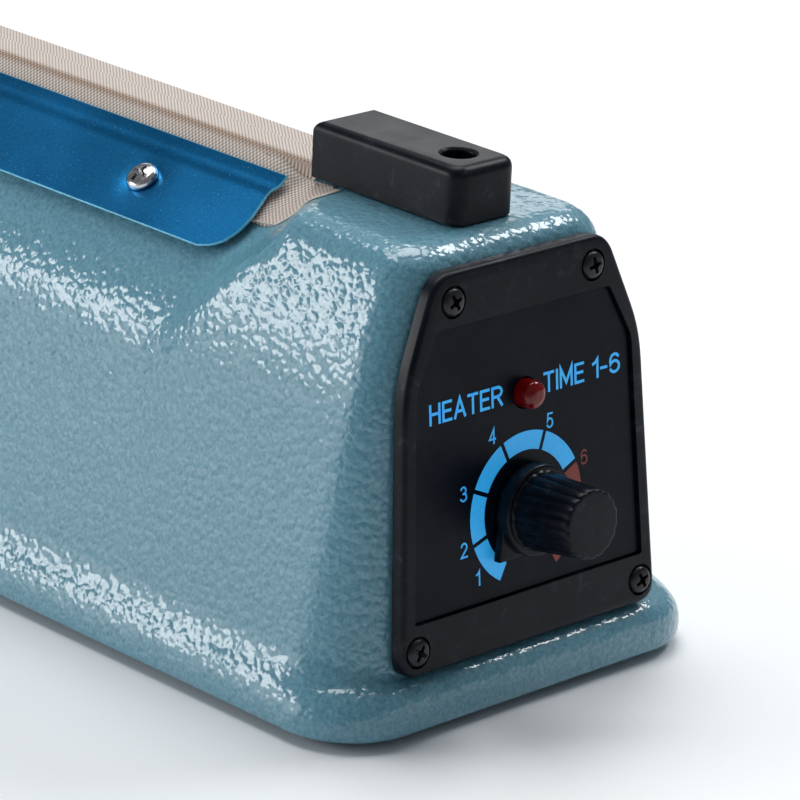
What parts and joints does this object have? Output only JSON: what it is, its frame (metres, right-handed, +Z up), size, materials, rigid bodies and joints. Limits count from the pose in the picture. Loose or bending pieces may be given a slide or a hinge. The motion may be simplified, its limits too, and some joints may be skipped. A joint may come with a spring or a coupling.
{
  "type": "impulse heat sealer",
  "caption": "Bench-top hand impulse heat sealer: hammertone casting with a timer panel, a heated strip under PTFE cloth along its ridge, and a sprung sealing arm.",
  "frame": {"origin": "on the bench, under the middle of the whole object's box", "axes": "+Z up, -Y towards the control panel, +Y towards the arm hinge, +X to the right seen from the panel"},
  "size_m": [0.0886, 0.432, 0.3493],
  "materials": {
    "hammertone_paint": "glossy hammertone",
    "black_plastic": "satin moulded",
    "panel_label": "smooth printed",
    "blue_anodised": "bright anodised",
    "ptfe_cloth": "coated open weave",
    "plated_steel": "plated",
    "black_steel": "blackened",
    "zinc_sheet": "zinc plated",
    "brass": "machined",
    "nichrome": "drawn",
    "aluminium": "mill finish",
    "silicone": "matt",
    "rubber": "matt",
    "red_lens": "clear moulded",
    "circuit_board": "solder resist",
    "core_steel": "varnished laminations",
    "copper_coil": "taped winding",
    "component_case": "moulded"
  },
  "bodies": {
    "base": {"base_casting": "hammertone_paint", "bottom_plate": "zinc_sheet", "foot_front_left": "rubber", "foot_front_right": "rubber", "foot_rear_left": "rubber", "foot_rear_right": "rubber", "foot_screw_front_left": "plated_steel", "foot_screw_front_right": "plated_steel", "foot_screw_rear_left": "plated_steel", "foot_screw_rear_right": "plated_steel", "panel_bezel": "black_plastic", "label_plate": "panel_label", "panel_screw_1": "black_steel", "panel_screw_2": "black_steel", "panel_screw_3": "black_steel", "panel_screw_4": "black_steel", "indicator_led": "red_lens", "led_holder": "black_plastic", "timer_potentiometer": "zinc_sheet", "potentiometer_nut": "plated_steel", "timer_board": "circuit_board", "timer_relay": "component_case", "timer_capacitor": "black_plastic", "guide_block": "black_plastic", "guide_block_screw": "plated_steel", "microswitch": "black_plastic", "switch_bracket": "zinc_sheet", "insulating_strip": "ptfe_cloth", "heating_wire": "nichrome", "front_terminal": "brass", "rear_terminal": "brass", "rear_terminal_cover": "black_plastic", "ptfe_cloth": "ptfe_cloth", "clamp_plate_left": "blue_anodised", "clamp_plate_right": "blue_anodised", "clamp_screw_left_1": "plated_steel", "clamp_screw_left_2": "plated_steel", "clamp_screw_left_3": "plated_steel", "clamp_screw_right_1": "plated_steel", "clamp_screw_right_2": "plated_steel", "clamp_screw_right_3": "plated_steel", "transformer_core": "core_steel", "transformer_coil": "copper_coil", "transformer_strap": "zinc_sheet", "cord_gland": "rubber", "hinge_pin": "plated_steel", "hinge_circlip": "black_steel", "return_spring": "plated_steel"},
    "arm": {"arm_casting": "hammertone_paint", "strip_channel": "aluminium", "silicone_strip": "silicone", "actuator_pin": "plated_steel", "arm_handle": "black_plastic", "handle_screw": "plated_steel"},
    "timer_knob_body": {"timer_knob": "black_plastic", "timer_shaft": "aluminium"},
    "plunger": {"switch_plunger": "silicone"}
  },
  "joints": [
    {"name": "arm_hinge", "type": "hinge", "parent": "base", "child": "arm", "pos_m": [0, 0.19163, 0.0975], "axis": [1, 0, 0], "range_deg": [0, 36], "stiffness_Nm_per_rad": 1.5, "springref_deg": -91.67, "deforming": ["return_spring"]},
    {"name": "timer_turn", "type": "hinge", "parent": "base", "child": "timer_knob_body", "pos_m": [0, -0.19991, 0.03429], "axis": [0, 0.9948, -0.1018], "range_deg": [-18, 280]},
    {"name": "plunger_travel", "type": "slide", "parent": "base", "child": "plunger", "axis": [0, 0, -1], "range_m": [0, 0.0025], "stiffness_N_per_m": 300, "springref_m": -0.003}
  ]
}
